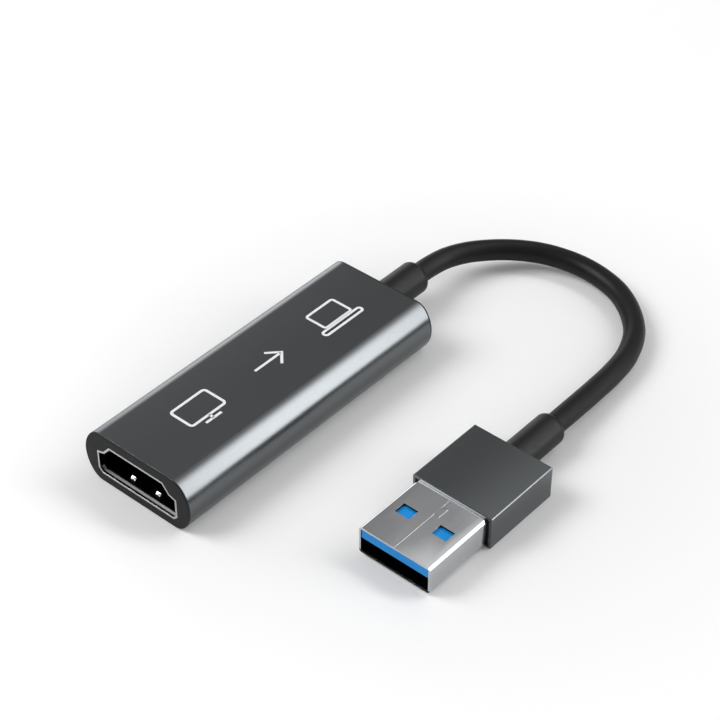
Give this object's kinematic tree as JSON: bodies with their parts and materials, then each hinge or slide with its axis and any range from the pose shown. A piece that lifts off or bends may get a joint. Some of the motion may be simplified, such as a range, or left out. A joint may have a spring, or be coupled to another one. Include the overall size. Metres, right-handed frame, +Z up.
{
  "type": "video capture box",
  "caption": "Flat grey metal capture dongle: a body with a video socket in its front end, and a short black cable to a flat computer plug with a blue insert.",
  "frame": {"origin": "middle of the body's underside, on the surface that it lies on", "axes": "+Y along the body towards its cable, so the video socket faces -Y; +X towards the plug; +Z up"},
  "size_m": [0.0513, 0.0812, 0.0084],
  "materials": {
    "grey_aluminium": "bead blasted and anodised, satin",
    "black_plastic": "moulded, satin",
    "plated_steel": "stamped and nickel plated",
    "blue_plastic": "moulded, satin",
    "gold_contacts": "gold plated",
    "relief_rubber": "moulded, satin",
    "cable_jacket": "extruded, satin",
    "circuit_board": "glass laminate under satin solder mask",
    "chip_resin": "moulded, matt",
    "crystal_can": "plated lid",
    "ferrite": "pressed and ground, matt",
    "ceramic": "fired ceramic with tinned ends",
    "resistor_film": "glazed ceramic with tinned ends",
    "red_core": "extruded core insulation",
    "white_core": "extruded core insulation",
    "blue_core": "extruded core insulation"
  },
  "bodies": {
    "root": {"body_sleeve": "grey_aluminium", "plug_housing": "grey_aluminium", "front_cap": "black_plastic", "rear_cap": "black_plastic", "socket_insulator": "black_plastic", "plug_core": "black_plastic", "socket_shell": "plated_steel", "plug_shell": "plated_steel", "plug_insulator": "blue_plastic", "socket_upper_contacts": "gold_contacts", "socket_lower_contacts": "gold_contacts", "plug_front_contacts": "gold_contacts", "plug_rear_contacts": "gold_contacts", "body_strain_relief": "relief_rubber", "plug_strain_relief": "relief_rubber", "cable": "cable_jacket", "main_board": "circuit_board", "capture_chip": "chip_resin", "memory_chip": "chip_resin", "voltage_regulator": "chip_resin", "surge_arrays": "chip_resin", "clock_crystal": "crystal_can", "power_inductor": "ferrite", "bulk_capacitor": "ceramic", "ceramic_capacitors": "ceramic", "chip_resistors": "resistor_film", "board_power_wires": "red_core", "plug_power_wires": "red_core", "board_data_wires": "white_core", "plug_data_wires": "white_core", "board_fast_wires": "blue_core", "plug_fast_wires": "blue_core"}
  },
  "joints": []
}
